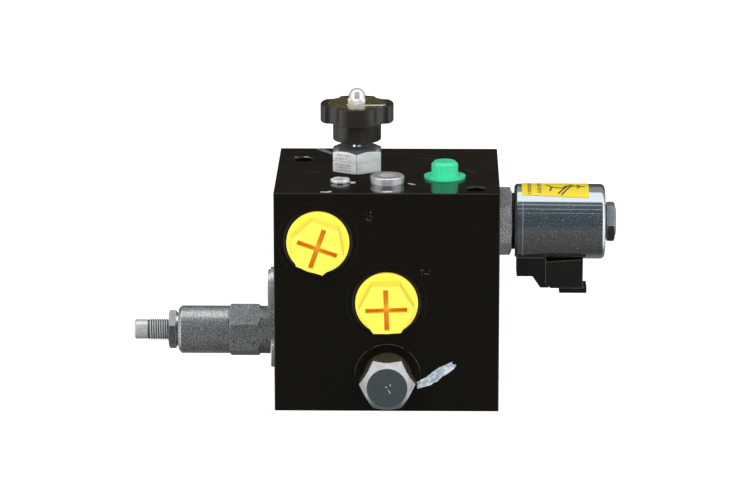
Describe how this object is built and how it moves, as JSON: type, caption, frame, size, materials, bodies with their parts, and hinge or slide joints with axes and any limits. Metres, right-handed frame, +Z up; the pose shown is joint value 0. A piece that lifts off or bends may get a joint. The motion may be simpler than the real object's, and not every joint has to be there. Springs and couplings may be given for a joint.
{
  "type": "solenoid directional valve manifold",
  "caption": "Black steel manifold block with a screwed-in solenoid directional valve, a relief valve, a knob-operated needle valve, a check valve and plastic port plugs.",
  "frame": {"origin": "centre of the block's bottom face", "axes": "+X towards the solenoid coil, -Y towards the ported front face, +Z up through the knob"},
  "size_m": [0.257, 0.127, 0.1609],
  "materials": {
    "block_black": "gloss black coating on steel",
    "zinc_plate": "zinc plated, satin",
    "polished_plate": "polished plating",
    "plain_steel": "ground steel",
    "spring_steel": "drawn spring wire",
    "seal_rubber": "smooth nitrile rubber",
    "moulded_black": "matt glass-filled moulding",
    "knob_black": "satin phenolic moulding",
    "insert_olive": "grained disc",
    "copper_wire": "enamelled copper winding",
    "label_yellow": "printed film",
    "plug_yellow": "soft moulded plastic",
    "plug_green": "soft moulded plastic",
    "torque_paint": "brushed marking paint"
  },
  "bodies": {
    "manifold": {"manifold_block": "block_black", "solenoid_valve_body": "zinc_plate", "armature_tube": "zinc_plate", "coil_nut": "zinc_plate", "relief_body": "zinc_plate", "relief_spring_housing": "zinc_plate", "needle_body": "zinc_plate", "check_body": "zinc_plate", "gauge_plug": "zinc_plate", "gauge_plug_washer": "zinc_plate", "vent_plug": "zinc_plate", "cavity_plug": "zinc_plate", "drilling_plug": "zinc_plate", "pole_piece": "plain_steel", "relief_seat": "plain_steel", "check_seat": "plain_steel", "vent_plug_washer": "plain_steel", "relief_spring": "spring_steel", "check_spring": "spring_steel", "solenoid_face_seal": "seal_rubber", "solenoid_cage_seals": "seal_rubber", "coil_inner_seal": "seal_rubber", "coil_outer_seal": "seal_rubber", "relief_face_seal": "seal_rubber", "relief_cage_seal": "seal_rubber", "stem_seal": "seal_rubber", "needle_face_seal": "seal_rubber", "needle_cage_seal": "seal_rubber", "check_face_seal": "seal_rubber", "check_cage_seal": "seal_rubber", "cavity_plug_seal": "seal_rubber", "drilling_plug_seal": "seal_rubber", "upper_port_plug": "plug_yellow", "lower_port_plug": "plug_yellow", "test_port_plug": "plug_green"},
    "spool_assembly": {"valve_spool": "plain_steel", "spool_push_pin": "plain_steel", "plunger": "plain_steel", "plunger_spring": "spring_steel"},
    "coil_assembly": {"coil_shell": "zinc_plate", "coil_bobbin": "moulded_black", "coil_winding": "copper_wire", "coil_end_washer": "zinc_plate", "connector_housing": "moulded_black", "connector_pins": "plain_steel", "coil_label": "label_yellow"},
    "relief_poppet_body": {"relief_poppet": "plain_steel"},
    "spring_seat_body": {"relief_spring_seat": "plain_steel", "spring_seat_seal": "seal_rubber"},
    "screw_body": {"adjusting_screw": "zinc_plate"},
    "washer_body": {"screw_seal_washer": "plain_steel"},
    "locknut_body": {"adjuster_locknut": "zinc_plate"},
    "needle_tip_body": {"needle_tip": "plain_steel"},
    "knob_body": {"needle_stem": "plain_steel", "control_knob": "knob_black", "knob_insert": "insert_olive", "knob_acorn_nut": "polished_plate"},
    "check_poppet_body": {"check_poppet": "plain_steel"}
  },
  "joints": [
    {"name": "spool_shift", "type": "slide", "parent": "manifold", "child": "spool_assembly", "axis": [1, 0, 0], "range_m": [0, 0.0026], "stiffness_N_per_m": 1500, "springref_m": -0.003, "deforming": ["plunger_spring"]},
    {"name": "coil_swivel", "type": "hinge", "parent": "manifold", "child": "coil_assembly", "pos_m": [0.09, 0, 0.0901], "axis": [1, 0, 0], "continuous": true},
    {"name": "relief_lift", "type": "slide", "parent": "manifold", "child": "relief_poppet_body", "axis": [-1, 0, 0], "range_m": [0, 0.0015], "stiffness_N_per_m": 4000, "springref_m": -0.005, "deforming": ["relief_spring"]},
    {"name": "spring_seat_travel", "type": "slide", "parent": "manifold", "child": "spring_seat_body", "axis": [1, 0, 0], "range_m": [-0.004, 0.003], "deforming": ["relief_spring"]},
    {"name": "screw_turn", "type": "hinge", "parent": "spring_seat_body", "child": "screw_body", "pos_m": [-0.12, 0.004, 0.0285], "axis": [1, 0, 0], "range_deg": [-1153, 865]},
    {"name": "washer_travel", "type": "slide", "parent": "manifold", "child": "washer_body", "axis": [1, 0, 0], "range_m": [-0.0015, 0]},
    {"name": "locknut_turn", "type": "hinge", "parent": "washer_body", "child": "locknut_body", "pos_m": [-0.12, 0.004, 0.0285], "axis": [1, 0, 0], "range_deg": [-433, 1]},
    {"name": "needle_lift", "type": "slide", "parent": "manifold", "child": "needle_tip_body", "axis": [0, 0, 1], "range_m": [-0.0015, 0.003]},
    {"name": "knob_turn", "type": "hinge", "parent": "needle_tip_body", "child": "knob_body", "pos_m": [-0.0164, 0.0055, 0.13], "axis": [0, 0, 1], "range_deg": [-541, 1081]},
    {"name": "check_lift", "type": "slide", "parent": "manifold", "child": "check_poppet_body", "axis": [0, -1, 0], "range_m": [0, 0.003], "stiffness_N_per_m": 300, "springref_m": -0.004, "deforming": ["check_spring"]}
  ],
  "couplings": [
    {"joint": "screw_turn", "follows": "spring_seat_travel", "rad_per_m": 5026.5},
    {"joint": "locknut_turn", "follows": "washer_travel", "rad_per_m": 5026.5},
    {"joint": "knob_turn", "follows": "needle_lift", "rad_per_m": 6283.2}
  ]
}
